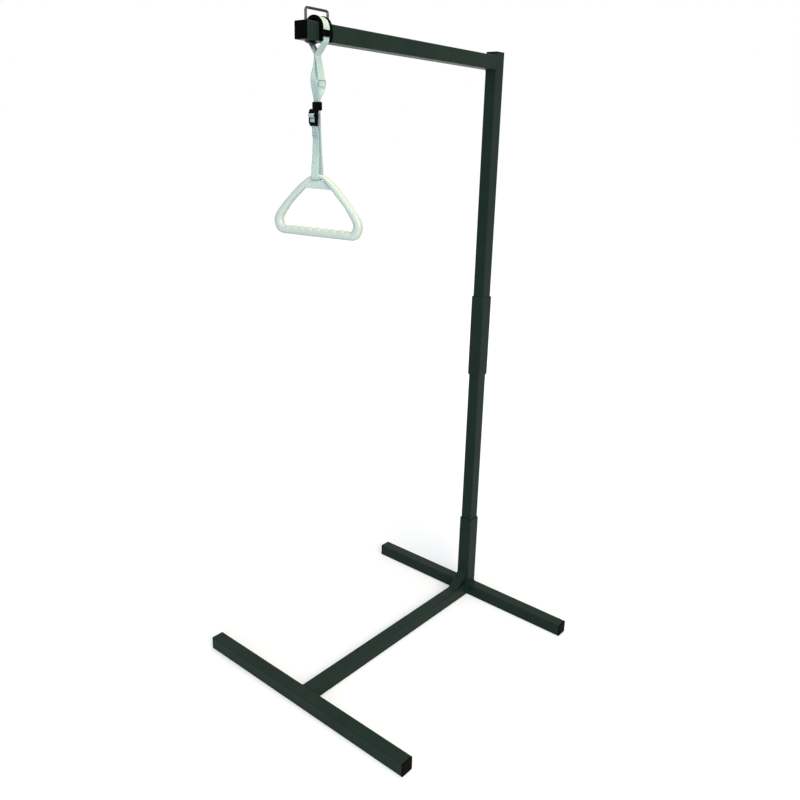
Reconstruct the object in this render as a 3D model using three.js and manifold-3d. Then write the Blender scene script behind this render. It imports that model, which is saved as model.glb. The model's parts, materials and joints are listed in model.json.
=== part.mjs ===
// A free-standing bed trapeze: an H-shaped floor base of square tube, a mast in two lengths that
// plug together, a fixed arm, and a pull handle on an adjustable strap that hangs from a saddle.
// Millimetres, +Z up, +Y from the front cross tube to the mast, +X to one side.
// The origin is on the floor, in the middle of the base.

import * as THREE from "three";
import { mergeVertices } from "three/addons/utils/BufferGeometryUtils.js";
import Module from "manifold-3d";

const wasm = await Module();
wasm.setup();

// Square tube of the base, mast and arm
const tubeWidth = 38.1;
const tubeWall = 2;
const tubeRound = 2.5;

// The next tube size up, which the mast lengths plug into
const sleeveWidth = 44.45;
const sleeveWall = 2.8;
const sleeveRound = 3.2;

// Floor base, over its end caps
const baseWidth = 758;
const baseDepth = 804;

// Heights above the floor and reach of the arm, over its cap
const socketTop = 282;
const sleeveBottom = 790;
const sleeveTop = 1041;
const sleeveJointShare = 0.5;
const armTop = 1738;
const mastTop = 1749;
const armReach = 748;

// How near two corners of a facet may lie before they count as one
const vertexTolerance = 1e-4;

// Clearance under a part that stands loose on another, and between fixed ones
const seatGap = 0.3;
const weldGap = 0.1;
const cutOverrun = 2;

// Moulded end caps
const capFlange = 3;
const capEdge = 1;
const capPlug = 9;
const capPlugWall = 1.2;
const capPlugGap = 0.3;

// Weld beads
const beadLeg = 3.7;
const beadBulgeShare = 0.68;

// Flat brace between the beam and the mast socket
const braceReach = 53;
const braceRise = 46;
const braceThickness = 4.7;
const braceWidth = 34;
const braceBeadLeg = 3.3;

// Bent keeper rod at the arm's end
const rodDiameter = 5;
const rodHoleGap = 0.8;
const rodInset = 16;
const rodRise = 27.5;
const rodSpan = 66;
const rodTipHeight = 10;
const rodTail = 28;
const rodPlay = 0.9;
const rodBend = 5;

// Webbing
const strapWidth = 20;
const strapThickness = 1.6;
const strapGap = 0.3;
const strapRound = 0.5;

// Plastic saddle that carries the webbing over the arm
const saddleInset = 37;
const saddleLength = 33;
const saddleFlange = 5.5;
const saddleFlangeRadius = 28;
const saddleFloorRadius = 24.2;
const saddleArchRise = 6.6;
const saddleFit = 0.3;
const saddleGap = 8.3;
const saddleDrop = 20.5;
const saddleFootRound = 3;
const saddleTaperDrop = 9;
const saddleFootWall = 1.4;
const bridgeDrop = 3.3;
const bridgeHeight = 14.5;
const bridgeThickness = 3;
const bridgeGap = 0.5;
const edgeRoundShare = 0.33;

// Where the webbing comes together, hangs and ends, below the arm's axis
const crossingDrop = 46.8;
const strandTopDrop = 47.6;
const bendDrop = 84;
const keeperDrop = 145;
const tailDrop = 102;
const tailHem = 14;
const tailLiftShare = 0.5;

// Plastic keeper loop and the frame of the strap adjuster below it
const adjusterYaw = THREE.MathUtils.degToRad(-10);
const keeperHeight = 18;
const keeperInside = 6.8;
const keeperSideGap = 0.5;
const keeperWall = 2.1;
const keeperRound = 2;
const layerPitch = 2.1;
const adjusterRise = 3;
const adjusterHeight = 37.5;
const adjusterDepth = 10.6;
const adjusterCheek = 4.2;
const adjusterFrontRound = 4.6;
const adjusterBackRound = 2;
const cheekFootShare = 2;
const adjusterPlate = 1.9;
const topPlateHeight = 10;
const footPlateHeight = 8.5;
const upperBarRadius = 2.7;
const upperBarDrop = 15;
const upperBarDepth = 5.4;
const lowerBarRadius = 2.1;
const lowerBarDrop = 24.6;
const lowerBarDepth = 4.9;
const sewnLap = 34;
const sewnHalfShare = 0.5;
const lapTopShare = 0.9;
const lapFootShare = 0.35;
const loopPower = 0.58;
const upperWrapDegrees = [90, 375];
const lowerWrapDegrees = [195, -10];

// Moulded triangular handle
const handleYaw = THREE.MathUtils.degToRad(17);
const handleDrop = 445;
const handleWidth = 234;
const handleHeight = 145.5;
const handleDepth = 20;
const apexThickness = 12.5;
const gripThickness = 19.5;
const fingerCount = 9;
const fingerPitch = 20.7;
const fingerHeight = 3.2;
const webThickness = 7;
const webHeightShares = [0.764, 0.93];
const webWidthShares = [0.304, 0.14];
const rimPower = 0.8;
const ridgeFadeShare = 0.25;
const slotWidth = 29;
const slotHeight = 5;

// How finely the round shapes are faceted
const steps = {
  corner: 4,
  arch: 12,
  strand: 24,
  run: 10,
  bar: 8,
  rod: 44,
  rodSides: 10,
  section: 12,
  finger: 6,
  limb: 40,
};

const finish = {
  coat: new THREE.MeshStandardMaterial({ color: 0x34382f, roughness: 0.42, metalness: 0.35 }),
  bead: new THREE.MeshStandardMaterial({ color: 0x3b3f35, roughness: 0.4, metalness: 0.35 }),
  black: new THREE.MeshStandardMaterial({ color: 0x0d0e0d, roughness: 0.5, metalness: 0 }),
  rod: new THREE.MeshStandardMaterial({ color: 0x2b3230, roughness: 0.3, metalness: 0.7 }),
  webbing: new THREE.MeshStandardMaterial({ color: 0xd9dfd6, roughness: 0.85, metalness: 0 }),
  ivory: new THREE.MeshStandardMaterial({ color: 0xe4e9df, roughness: 0.38, metalness: 0 }),
};

// Solids from closed meshes, and back

function toSolid(geometry) {
  const bare = geometry.clone();
  bare.deleteAttribute("normal");
  bare.deleteAttribute("uv");
  const merged = mergeVertices(bare, vertexTolerance);
  return new wasm.Manifold(
    new wasm.Mesh({
      numProp: 3,
      vertProperties: new Float32Array(merged.attributes.position.array),
      triVerts: new Uint32Array(merged.index.array),
    }),
  );
}

function toGeometry(solid) {
  const mesh = solid.getMesh();
  const geometry = new THREE.BufferGeometry();
  geometry.setAttribute("position", new THREE.BufferAttribute(mesh.vertProperties, 3));
  geometry.setIndex(new THREE.BufferAttribute(mesh.triVerts, 1));
  const flat = geometry.toNonIndexed();
  flat.computeVertexNormals();
  return flat;
}

function join(...geometries) {
  return toGeometry(geometries.map(toSolid).reduce((all, next) => all.add(next)));
}

function cut(geometry, ...tools) {
  return toGeometry(tools.map(toSolid).reduce((left, tool) => left.subtract(tool), toSolid(geometry)));
}

// Outlines

function roundedRectangle(width, height, radius) {
  const x = width / 2 - radius;
  const y = height / 2 - radius;
  const outline = new THREE.Shape();
  outline.absarc(x, y, radius, 0, Math.PI / 2);
  outline.absarc(-x, y, radius, Math.PI / 2, Math.PI);
  outline.absarc(-x, -y, radius, Math.PI, Math.PI * 1.5);
  outline.absarc(x, -y, radius, Math.PI * 1.5, Math.PI * 2);
  outline.closePath();
  return outline;
}

function squareTube(width, wall, round, length) {
  const outline = roundedRectangle(width, width, round);
  outline.holes.push(roundedRectangle(width - 2 * wall, width - 2 * wall, round - wall));
  return new THREE.ExtrudeGeometry(outline, {
    depth: length,
    bevelEnabled: false,
    curveSegments: steps.corner,
  });
}

function extrude(outline, depth, curveSegments = steps.corner) {
  return new THREE.ExtrudeGeometry(outline, { depth, bevelEnabled: false, curveSegments });
}

// An outline drawn in X and Z, given its depth along Y, centred on Y = 0
function extrudeAcross(outline, depth, curveSegments = steps.corner) {
  const geometry = extrude(outline, depth, curveSegments);
  geometry.translate(0, 0, -depth / 2);
  geometry.rotateX(Math.PI / 2);
  return geometry;
}

// An outline drawn in Y and Z, given its width along X, centred on X = 0
function extrudeSideways(outline, width, curveSegments = steps.corner) {
  const geometry = extrude(outline, width, curveSegments);
  geometry.translate(0, 0, -width / 2);
  const basis = new THREE.Matrix4().makeBasis(
    new THREE.Vector3(0, 1, 0),
    new THREE.Vector3(0, 0, 1),
    new THREE.Vector3(1, 0, 0),
  );
  geometry.applyMatrix4(basis);
  return geometry;
}

// A skin through rings of points: closed on itself, or capped at both ends
function skin(rings, closed) {
  const size = rings[0].length;
  const count = rings.length;
  const index = [];
  const spans = closed ? count : count - 1;
  for (let i = 0; i < spans; i++) {
    const here = i * size;
    const next = ((i + 1) % count) * size;
    for (let j = 0; j < size; j++) {
      const k = (j + 1) % size;
      index.push(here + j, here + k, next + k);
      index.push(here + j, next + k, next + j);
    }
  }
  if (!closed) {
    const last = (count - 1) * size;
    for (let j = 1; j < size - 1; j++) {
      index.push(0, j + 1, j);
      index.push(last, last + j, last + j + 1);
    }
  }
  const geometry = new THREE.BufferGeometry();
  const places = rings.flat().flatMap((point) => [point.x, point.y, point.z]);
  geometry.setAttribute("position", new THREE.Float32BufferAttribute(places, 3));
  geometry.setIndex(index);
  return geometry;
}

function place(group, name, geometry, material, x = 0, y = 0, z = 0) {
  const mesh = new THREE.Mesh(geometry, material);
  mesh.name = name;
  mesh.position.set(x, y, z);
  group.add(mesh);
  return mesh;
}

function addGroup(parent, x, y, z, yaw = 0) {
  const group = new THREE.Group();
  group.position.set(x, y, z);
  group.rotation.z = yaw;
  parent.add(group);
  return group;
}

// A tube's end cap: a flange with a softened edge and a hollow plug, pointing along +Z
function endCap() {
  const flange = new THREE.ExtrudeGeometry(
    roundedRectangle(tubeWidth - 2 * capEdge, tubeWidth - 2 * capEdge, tubeRound - capEdge),
    {
      depth: capFlange - capEdge,
      bevelThickness: capEdge,
      bevelSize: capEdge,
      bevelSegments: 2,
      curveSegments: steps.corner,
    },
  );
  const half = new THREE.BoxGeometry(tubeWidth * 2, tubeWidth * 2, tubeWidth);
  half.translate(0, 0, -tubeWidth / 2);
  const face = cut(flange, half);
  const plugWidth = tubeWidth - 2 * tubeWall - 2 * capPlugGap;
  const plug = squareTube(plugWidth, capPlugWall, tubeRound - capEdge, capPlug + capEdge);
  plug.translate(0, 0, -capPlug);
  return join(face, plug);
}

// A weld bead in the corner between two faces, whose outward directions are a and b
function weldBead(a, b, length) {
  const outline = new THREE.Shape();
  outline.moveTo(0, 0);
  outline.lineTo(beadLeg, 0);
  outline.quadraticCurveTo(beadLeg * beadBulgeShare, beadLeg * beadBulgeShare, 0, beadLeg);
  outline.closePath();
  const geometry = extrude(outline, length);
  geometry.translate(weldGap, weldGap, -length / 2);
  const along = new THREE.Vector3().crossVectors(a, b);
  geometry.applyMatrix4(new THREE.Matrix4().makeBasis(a, b, along));
  return geometry;
}

const alongX = new THREE.Vector3(1, 0, 0);
const alongY = new THREE.Vector3(0, 1, 0);
const alongZ = new THREE.Vector3(0, 0, 1);
const downward = new THREE.Vector3(0, 0, -1);
const beadRun = tubeWidth - 2 * tubeRound;

// Floor base

const trapeze = new THREE.Group();
const rearY = baseDepth / 2 - tubeWidth / 2;
const frontY = -rearY;
const mastY = baseDepth / 2 - sleeveWidth / 2;

function crossTube(name, y) {
  const length = baseWidth - 2 * capFlange;
  const geometry = squareTube(tubeWidth, tubeWall, tubeRound, length);
  geometry.translate(0, 0, -length / 2);
  geometry.rotateY(Math.PI / 2);
  place(trapeze, name + "_cross_tube", geometry, finish.coat, 0, y, tubeWidth / 2);
  for (const [side, sign] of [["left", -1], ["right", 1]]) {
    const cap = endCap();
    cap.rotateY((sign * Math.PI) / 2);
    place(trapeze, name + "_cap_" + side, cap, finish.black, (sign * length) / 2, y, tubeWidth / 2);
  }
}

function floorBase() {
  crossTube("rear", rearY);
  crossTube("front", frontY);
  const beamLength = baseDepth - 2 * tubeWidth;
  const beam = squareTube(tubeWidth, tubeWall, tubeRound, beamLength);
  beam.translate(0, 0, -beamLength / 2);
  beam.rotateX(Math.PI / 2);
  place(trapeze, "centre_beam", beam, finish.coat, 0, 0, tubeWidth / 2);
  for (const [side, sign] of [["left", -1], ["right", 1]]) {
    const outward = alongX.clone().multiplyScalar(sign);
    for (const [end, facing] of [["front", 1], ["rear", -1]]) {
      const bead = weldBead(outward, alongY.clone().multiplyScalar(facing), beadRun);
      const y = (-facing * beamLength) / 2;
      const name = "weld_beam_" + end + "_" + side;
      place(trapeze, name, bead, finish.bead, (sign * tubeWidth) / 2, y, tubeWidth / 2);
    }
    const foot = weldBead(outward, alongZ, beadRun);
    place(trapeze, "weld_socket_" + side, foot, finish.bead, (sign * sleeveWidth) / 2, rearY, tubeWidth);
  }
}

function socketAndBrace() {
  const socket = squareTube(sleeveWidth, sleeveWall, sleeveRound, socketTop - tubeWidth);
  place(trapeze, "mast_socket", socket, finish.coat, 0, mastY, tubeWidth);

  const slope = Math.atan2(braceRise, braceReach);
  const plate = new THREE.Shape();
  plate.moveTo(-braceReach, 0);
  plate.lineTo(-braceReach + braceThickness / Math.sin(slope), 0);
  plate.lineTo(0, braceRise - braceThickness / Math.cos(slope));
  plate.lineTo(0, braceRise);
  plate.closePath();
  const cornerY = mastY - sleeveWidth / 2 - weldGap;
  const cornerZ = tubeWidth + weldGap;
  place(trapeze, "brace_plate", extrudeSideways(plate, braceWidth), finish.coat, 0, cornerY, cornerZ);

  const run = braceBeadLeg * Math.cos(slope);
  const lift = braceBeadLeg * Math.sin(slope);
  const foot = new THREE.Shape();
  foot.moveTo(-braceReach - braceBeadLeg, 0);
  foot.lineTo(-braceReach, 0);
  foot.lineTo(-braceReach + run, lift);
  foot.quadraticCurveTo(-braceReach - braceBeadLeg / 2, lift, -braceReach - braceBeadLeg, 0);
  const head = new THREE.Shape();
  head.moveTo(0, braceRise);
  head.lineTo(0, braceRise + braceBeadLeg);
  head.quadraticCurveTo(-run, braceRise + braceBeadLeg / 2, -run, braceRise - lift);
  head.closePath();
  const beadY = cornerY - weldGap;
  const beadZ = cornerZ + weldGap;
  const width = braceWidth - tubeRound;
  place(trapeze, "weld_brace_foot", extrudeSideways(foot, width), finish.bead, 0, beadY, beadZ);
  place(trapeze, "weld_brace_head", extrudeSideways(head, width), finish.bead, 0, beadY, beadZ);
}

// Mast and arm

const mast = addGroup(trapeze, 0, mastY, 0);
const sleeveJoint = sleeveBottom + (sleeveTop - sleeveBottom) * sleeveJointShare;

// The bead that runs round the lower mast, under the sleeve
function ringBead() {
  const leg = (sleeveWidth - tubeWidth) / 2;
  const outlineAt = (offset) => {
    const width = tubeWidth + 2 * offset;
    return roundedRectangle(width, width, tubeRound + offset).getPoints(steps.corner);
  };
  const inner = outlineAt(weldGap);
  const outer = outlineAt(leg);
  const middle = outlineAt(leg * beadBulgeShare);
  const rings = inner.slice(0, -1).map((point, i) => [
    new THREE.Vector3(point.x, point.y, 0),
    new THREE.Vector3(outer[i].x, outer[i].y, 0),
    new THREE.Vector3(middle[i].x, middle[i].y, -leg * beadBulgeShare),
    new THREE.Vector3(point.x, point.y, -leg),
  ]);
  return skin(rings, true);
}

function mastAndSleeve() {
  const lowerBottom = tubeWidth + seatGap;
  const lower = squareTube(tubeWidth, tubeWall, tubeRound, sleeveJoint - lowerBottom);
  place(mast, "lower_mast_tube", lower, finish.coat, 0, 0, lowerBottom);
  const sleeve = squareTube(sleeveWidth, sleeveWall, sleeveRound, sleeveTop - sleeveBottom);
  place(mast, "mast_sleeve", sleeve, finish.coat, 0, 0, sleeveBottom);
  place(mast, "weld_sleeve", ringBead(), finish.bead, 0, 0, sleeveBottom - weldGap);

  const upperBottom = sleeveJoint + seatGap;
  const upperLength = mastTop - capFlange - upperBottom;
  const upper = squareTube(tubeWidth, tubeWall, tubeRound, upperLength);
  place(mast, "upper_mast_tube", upper, finish.coat, 0, 0, upperBottom);
  place(mast, "mast_top_cap", endCap(), finish.black, 0, 0, mastTop - capFlange);
}

const armAxis = armTop - tubeWidth / 2;
const armEnd = addGroup(mast, 0, -armReach, armAxis);

function armTube() {
  const length = armReach - capFlange - tubeWidth / 2;
  const tube = squareTube(tubeWidth, tubeWall, tubeRound, length);
  tube.translate(0, 0, -length);
  tube.rotateX(Math.PI / 2);
  tube.translate(0, capFlange, 0);
  const hole = new THREE.CylinderGeometry(
    rodDiameter / 2 + rodHoleGap,
    rodDiameter / 2 + rodHoleGap,
    tubeWidth + 2 * cutOverrun,
    steps.rodSides * 2,
  );
  hole.rotateX(Math.PI / 2);
  hole.translate(0, rodInset, 0);
  place(armEnd, "arm_tube", cut(tube, hole), finish.coat);
  const cap = endCap();
  cap.rotateX(Math.PI / 2);
  place(armEnd, "arm_end_cap", cap, finish.black, 0, capFlange, 0);
  const forward = alongY.clone().negate();
  for (const [side, sign] of [["top", 1], ["bottom", -1]]) {
    const bead = weldBead(forward, alongZ.clone().multiplyScalar(sign), beadRun);
    const y = armReach - tubeWidth / 2;
    place(armEnd, "weld_arm_" + side, bead, finish.bead, 0, y, (sign * tubeWidth) / 2);
  }
}

// One bent rod: a short foot under the arm, a leg through it, a bar above the saddle and a tip
function keeperRod() {
  const footZ = -tubeWidth / 2 - rodPlay - rodDiameter / 2;
  const barZ = tubeWidth / 2 + rodRise;
  const corners = [
    [rodInset + rodTail, footZ],
    [rodInset, footZ],
    [rodInset, barZ],
    [rodInset + rodSpan, barZ],
    [rodInset + rodSpan, tubeWidth / 2 + rodTipHeight],
  ].map(([y, z]) => new THREE.Vector3(0, y, z));
  const path = new THREE.CurvePath();
  let from = corners[0];
  for (let i = 1; i < corners.length - 1; i++) {
    const towards = (target) => target.clone().sub(corners[i]).setLength(rodBend).add(corners[i]);
    const enter = towards(corners[i - 1]);
    const leave = towards(corners[i + 1]);
    path.add(new THREE.LineCurve3(from, enter));
    path.add(new THREE.QuadraticBezierCurve3(enter, corners[i], leave));
    from = leave;
  }
  path.add(new THREE.LineCurve3(from, corners[corners.length - 1]));
  const section = new THREE.Shape();
  section.absarc(0, 0, rodDiameter / 2, 0, Math.PI * 2);
  const rod = new THREE.ExtrudeGeometry(section, {
    steps: steps.rod,
    curveSegments: steps.rodSides,
    extrudePath: path,
    bevelEnabled: false,
  });
  place(armEnd, "keeper_rod", rod, finish.rod);
}

// Strap saddle

const saddleY = saddleInset + saddleLength / 2;
const saddleInner = tubeWidth / 2 + saddleFit;
const saddleFoot = saddleInner + saddleFootWall;

// The arch seen along the arm: legs beside the tube, which thin from a knee to the foot, under a
// round back
function saddleOutline(radius, knee, foot) {
  const outline = new THREE.Shape();
  const shoulder = tubeWidth / 2 + saddleFit;
  const crown = tubeWidth / 2 + saddleGap;
  outline.moveTo(radius, saddleArchRise);
  outline.absarc(0, saddleArchRise, radius, 0, Math.PI);
  outline.lineTo(-radius, -knee);
  outline.lineTo(-foot, -saddleDrop);
  outline.lineTo(-saddleInner, -saddleDrop);
  outline.lineTo(-saddleInner, shoulder);
  outline.quadraticCurveTo(0, 2 * crown - shoulder, saddleInner, shoulder);
  outline.lineTo(saddleInner, -saddleDrop);
  outline.lineTo(foot, -saddleDrop);
  outline.lineTo(radius, -knee);
  outline.closePath();
  return outline;
}

function strapSaddle() {
  const floor = saddleOutline(saddleFloorRadius, saddleTaperDrop, saddleFoot);
  const pieces = [extrudeAcross(floor, saddleLength, steps.arch)];
  const flangeY = (saddleLength - saddleFlange) / 2;
  for (const y of [-flangeY, flangeY]) {
    const corner = saddleFlangeRadius - saddleFootRound;
    const side = saddleOutline(saddleFlangeRadius, saddleDrop - saddleFootRound, corner);
    const flange = extrudeAcross(side, saddleFlange, steps.arch);
    flange.translate(0, y, 0);
    pieces.push(flange);
  }
  const bridgeInner = saddleFloorRadius + strapGap + strapThickness + bridgeGap;
  for (const sign of [-1, 1]) {
    const bar = roundedRectangle(bridgeThickness, bridgeHeight, bridgeThickness * edgeRoundShare);
    const bridge = extrudeAcross(bar, saddleLength);
    bridge.translate(sign * (bridgeInner + bridgeThickness / 2), 0, -bridgeDrop);
    pieces.push(bridge);
  }
  place(armEnd, "strap_saddle", join(...pieces), finish.black, 0, saddleY, 0);
}

// Webbing

const webbingRise = strapThickness / 2 + strapGap;

// The corners of the webbing's section: flat faces with slightly rounded edges
function webbingSection(width, thickness) {
  const x = width / 2;
  const y = thickness / 2;
  return [
    [x, -y + strapRound],
    [x, y - strapRound],
    [x - strapRound, y],
    [-x + strapRound, y],
    [-x, y - strapRound],
    [-x, -y + strapRound],
    [-x + strapRound, -y],
    [x - strapRound, -y],
  ];
}

// A strap through stations of place, width direction, thickness and, at a cut end, the cut's normal
function webbing(stations) {
  const rings = stations.map((station, i) => {
    const before = stations[Math.max(i - 1, 0)].at;
    const after = stations[Math.min(i + 1, stations.length - 1)].at;
    const along = station.along ?? after.clone().sub(before).normalize();
    const across = station.across.clone().addScaledVector(along, -station.across.dot(along)).normalize();
    const up = new THREE.Vector3().crossVectors(along, across);
    return webbingSection(strapWidth, station.thickness ?? strapThickness).map(([a, b]) =>
      station.at.clone().addScaledVector(across, a).addScaledVector(up, b),
    );
  });
  return skin(rings, false);
}

// The half of the saddle's webbing on the +X side, from the crossing up to the crown
function saddleWebbingHalf() {
  const startX = strapThickness / 2 + strapGap / 2;
  const dx = startX - saddleFoot;
  const dz = saddleDrop + strapThickness - crossingDrop;
  const leave = Math.atan2(dz, dx) + Math.acos(webbingRise / Math.hypot(dx, dz));
  const taper = Math.atan2(saddleFoot - saddleFloorRadius, saddleDrop - saddleTaperDrop);
  const points = [
    new THREE.Vector2(startX, -crossingDrop),
    new THREE.Vector2(startX, -crossingDrop + strapThickness),
  ];
  const wrap = (x, z, radius, from, to, count) => {
    for (let i = 0; i <= count; i++) {
      const angle = from + ((to - from) * i) / count;
      points.push(new THREE.Vector2(x + radius * Math.cos(angle), z + radius * Math.sin(angle)));
    }
  };
  wrap(saddleFoot, -saddleDrop, webbingRise, leave, taper, steps.corner);
  wrap(saddleFloorRadius, -saddleTaperDrop, webbingRise, taper, 0, steps.corner);
  wrap(0, saddleArchRise, saddleFloorRadius + webbingRise, 0, Math.PI / 2, steps.arch);
  return points;
}

const hanger = addGroup(armEnd, 0, saddleY, 0);

function saddleWebbing() {
  const half = saddleWebbingHalf();
  const other = half.slice(0, -1).reverse().map((point) => new THREE.Vector2(-point.x, point.y));
  const stations = [...half, ...other].map((point) => ({
    at: new THREE.Vector3(point.x, 0, point.y),
    across: alongY,
  }));
  stations[0].along = alongZ;
  stations[stations.length - 1].along = downward;
  place(hanger, "saddle_webbing", webbing(stations), finish.webbing);
}

// A strand given by a few stations [share of the fall, sideways, back, facing in degrees], smoothed
function strandStations(table, top, bottom, count, bulge) {
  const smooth = (column, t) => {
    const x = t * (table.length - 1);
    const i = Math.min(Math.floor(x), table.length - 2);
    const f = x - i;
    const value = (k) => table[THREE.MathUtils.clamp(k, 0, table.length - 1)][column];
    const [a, b, c, d] = [value(i - 1), value(i), value(i + 1), value(i + 2)];
    return b + 0.5 * f * (c - a + f * (2 * a - 5 * b + 4 * c - d + f * (3 * (b - c) + d - a)));
  };
  return Array.from({ length: count + 1 }, (_, k) => {
    const t = k / count;
    const facing = THREE.MathUtils.degToRad(smooth(3, t));
    return {
      at: new THREE.Vector3(smooth(1, t) * bulge, smooth(2, t) * bulge, top + (bottom - top) * smooth(0, t)),
      across: new THREE.Vector3(Math.cos(facing), Math.sin(facing), 0),
      facing,
    };
  });
}

const adjusterDegrees = THREE.MathUtils.radToDeg(adjusterYaw);
const strandBulge = 8;
const nearKeeperShare = 1.5;
const layerX = (layerPitch * Math.sin(-adjusterYaw)) / strandBulge;
const layerY = (layerPitch * Math.cos(adjusterYaw)) / strandBulge;
const crossingX = (strapThickness / 2 + strapGap / 2) / strandBulge;

const frontStrandShares = [
  [0, -crossingX, 0, 90],
  [0.1, -0.3, -0.12, 86],
  [0.26, -0.64, -0.46, 78],
  [0.38, -0.8, -0.72, 62],
  [0.48, -0.86, -0.88, 36],
  [0.58, -0.84, -0.96, 16],
  [0.7, -0.72, -0.92, 6],
  [0.84, -0.46, -0.68, -6],
  [0.94, -layerX * nearKeeperShare, -layerY * nearKeeperShare, adjusterDegrees],
  [1, -layerX, -layerY, adjusterDegrees],
];
const backStrandShares = [
  [0, crossingX, 0, 90],
  [0.1, 0.36, 0.12, 89],
  [0.26, 0.74, 0.42, 86],
  [0.4, 0.92, 0.6, 83],
  [0.52, 0.96, 0.7, 78],
  [0.64, 0.9, 0.76, 62],
  [0.75, 0.7, 0.74, 36],
  [0.86, 0.5, 0.68, 0],
  [0.94, layerX * nearKeeperShare, layerY * nearKeeperShare, adjusterDegrees],
  [1, layerX, layerY, adjusterDegrees],
];

// The stretch of a strap between two heights, cut level at both
function stretch(stations, top, bottom) {
  const stationAt = (z) => {
    const i = Math.max(1, stations.findIndex((station) => station.at.z <= z));
    const above = stations[i - 1];
    const below = stations[i];
    const share = (above.at.z - z) / (above.at.z - below.at.z);
    return {
      at: above.at.clone().lerp(below.at, share),
      across: above.across.clone().lerp(below.across, share).normalize(),
      along: downward,
    };
  };
  const margin = strapThickness;
  const inside = ({ at }) => at.z < top - margin && at.z > bottom + margin;
  return [stationAt(top), ...stations.filter(inside), stationAt(bottom)];
}

// The two strands between the crossing and the keeper, each in two lengths that meet where the
// strap has turned enough to bend forwards and back
function strands() {
  const top = -strandTopDrop;
  const bottom = -keeperDrop + strapGap;
  const pairs = [["front", frontStrandShares], ["back", backStrandShares]];
  const [front, back] = pairs.map(([side, shares]) => {
    const stations = strandStations(shares, top, -keeperDrop, steps.strand, strandBulge);
    const upper = stretch(stations, top, -bendDrop + strapGap / 2);
    const lower = stretch(stations, -bendDrop - strapGap / 2, bottom);
    place(hanger, side + "_strand_upper", webbing(upper), finish.webbing);
    place(hanger, side + "_strand_lower", webbing(lower), finish.webbing);
    return stations;
  });

  // The free tail lies on the front face of the back strand and ends in a folded hem
  const stations = stretch(back, -tailDrop, bottom).map((station) => {
    const facing = new THREE.Vector3(station.across.y, -station.across.x, 0);
    const depth = -tailDrop - station.at.z;
    const fall = depth / (keeperDrop - tailDrop);
    const offset = layerPitch * (1 + tailLiftShare * Math.sin(Math.PI * fall));
    const thick = depth < tailHem ? strapThickness * 2 : strapThickness;
    return {
      at: station.at.clone().addScaledVector(facing, offset + (thick - strapThickness) / 2),
      across: station.across,
      along: station.along,
      thickness: thick,
    };
  });
  place(hanger, "strap_tail", webbing(stations), finish.webbing);
}

// Keeper loop and adjuster, in a frame turned with them: X along the strap's width, -Y in front

const adjuster = addGroup(hanger, 0, 0, -keeperDrop, adjusterYaw);
const keeperWidth = strapWidth + 2 * keeperSideGap + 2 * keeperWall;
const keeperDepth = keeperInside + 2 * keeperWall;
const adjusterBack = -keeperDepth / 2 - seatGap;
const adjusterFront = adjusterBack - adjusterDepth;
const adjusterTop = -keeperHeight + adjusterRise;
const adjusterInner = strapWidth / 2 + strapGap;
const upperBar = new THREE.Vector2(adjusterBack - upperBarDepth, adjusterTop - upperBarDrop);
const lowerBar = new THREE.Vector2(adjusterBack - lowerBarDepth, adjusterTop - lowerBarDrop);

function keeperLoop() {
  const outline = roundedRectangle(keeperWidth, keeperDepth, keeperRound);
  outline.holes.push(roundedRectangle(strapWidth + 2 * keeperSideGap, keeperInside, keeperSideGap));
  const loop = extrude(outline, keeperHeight);
  place(adjuster, "strap_keeper", loop, finish.black, 0, 0, -keeperHeight);
}

// A cheek's outline in Y and Z, rounder in front than behind
function cheekOutline() {
  const bottom = adjusterTop - adjusterHeight;
  const f = adjusterFrontRound;
  const b = adjusterBackRound;
  const outline = new THREE.Shape();
  outline.moveTo(adjusterBack, bottom + b);
  outline.lineTo(adjusterBack, adjusterTop - b);
  outline.quadraticCurveTo(adjusterBack, adjusterTop, adjusterBack - b, adjusterTop);
  outline.lineTo(adjusterFront + f, adjusterTop);
  outline.quadraticCurveTo(adjusterFront, adjusterTop, adjusterFront, adjusterTop - f);
  outline.lineTo(adjusterFront, bottom + f * cheekFootShare);
  outline.quadraticCurveTo(adjusterFront, bottom, adjusterBack - b * cheekFootShare, bottom);
  outline.quadraticCurveTo(adjusterBack, bottom, adjusterBack, bottom + b);
  return outline;
}

function adjusterFrame() {
  const outer = adjusterInner + adjusterCheek;
  const pieces = [];
  for (const sign of [-1, 1]) {
    const cheek = extrudeSideways(cheekOutline(), adjusterCheek);
    cheek.translate(sign * (outer - adjusterCheek / 2), 0, 0);
    pieces.push(cheek);
  }
  const span = 2 * adjusterInner + adjusterCheek;
  const bottom = adjusterTop - adjusterHeight;
  const plate = (height, z) => {
    const outline = roundedRectangle(adjusterPlate, height, adjusterPlate * edgeRoundShare);
    const geometry = extrudeSideways(outline, span);
    geometry.translate(0, adjusterFront + adjusterPlate / 2, z);
    return geometry;
  };
  const setBack = adjusterFrontRound / 2;
  pieces.push(plate(topPlateHeight - setBack, adjusterTop - setBack - topPlateHeight / 2));
  pieces.push(plate(footPlateHeight - setBack, bottom + setBack + footPlateHeight / 2));
  for (const [bar, radius] of [[upperBar, upperBarRadius], [lowerBar, lowerBarRadius]]) {
    const rod = new THREE.CylinderGeometry(radius, radius, span, steps.section);
    rod.rotateZ(Math.PI / 2);
    rod.translate(0, bar.x, bar.y);
    pieces.push(rod);
  }
  place(adjuster, "adjuster_frame", join(...pieces), finish.black);
}

// Points round a bar, from one angle to another, in Y and Z
function roundBar(bar, radius, [from, to]) {
  const count = steps.bar;
  return Array.from({ length: count + 1 }, (_, i) => {
    const angle = THREE.MathUtils.degToRad(from + ((to - from) * i) / count);
    return new THREE.Vector2(bar.x + radius * Math.cos(angle), bar.y + radius * Math.sin(angle));
  });
}

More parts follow.
